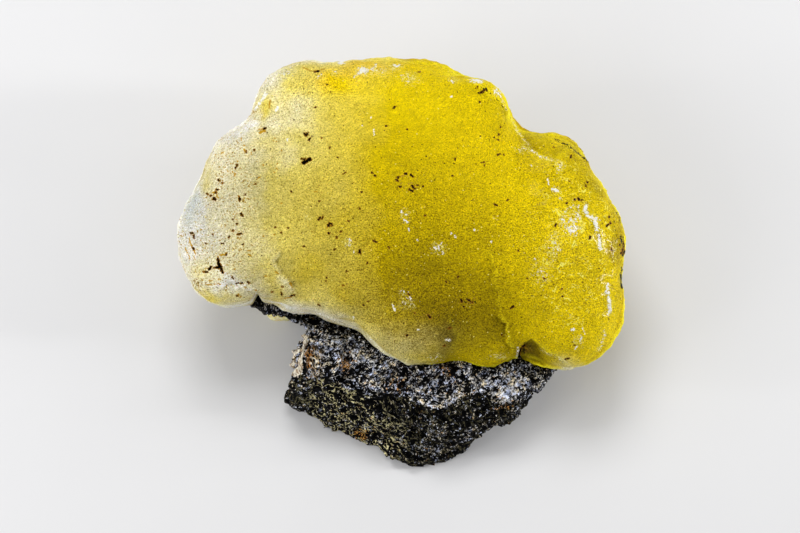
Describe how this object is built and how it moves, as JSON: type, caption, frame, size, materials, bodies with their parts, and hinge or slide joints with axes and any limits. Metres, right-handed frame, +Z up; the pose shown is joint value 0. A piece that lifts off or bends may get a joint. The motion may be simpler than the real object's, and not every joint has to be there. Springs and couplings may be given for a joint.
{
  "type": "brucite specimen",
  "caption": "Thick rounded crust of yellow brucite with lobed edges, grown on a broken piece of dark matrix rock, resting on the rock's flat back.",
  "frame": {"origin": "middle of the specimen's box, on the floor under the rock's flat back", "axes": "+X along the longest side, towards the yellow end of the crust; +Y towards the top of the domed face; +Z up"},
  "size_m": [0.09, 0.0784, 0.0384],
  "materials": {
    "brucite": "waxy, translucent",
    "matrix_rock": "rough, broken",
    "pale_brucite": "waxy, translucent"
  },
  "bodies": {
    "root": {"brucite_crust": "brucite", "matrix_rock": "matrix_rock", "brucite_rear_lobe": "pale_brucite"}
  },
  "joints": []
}
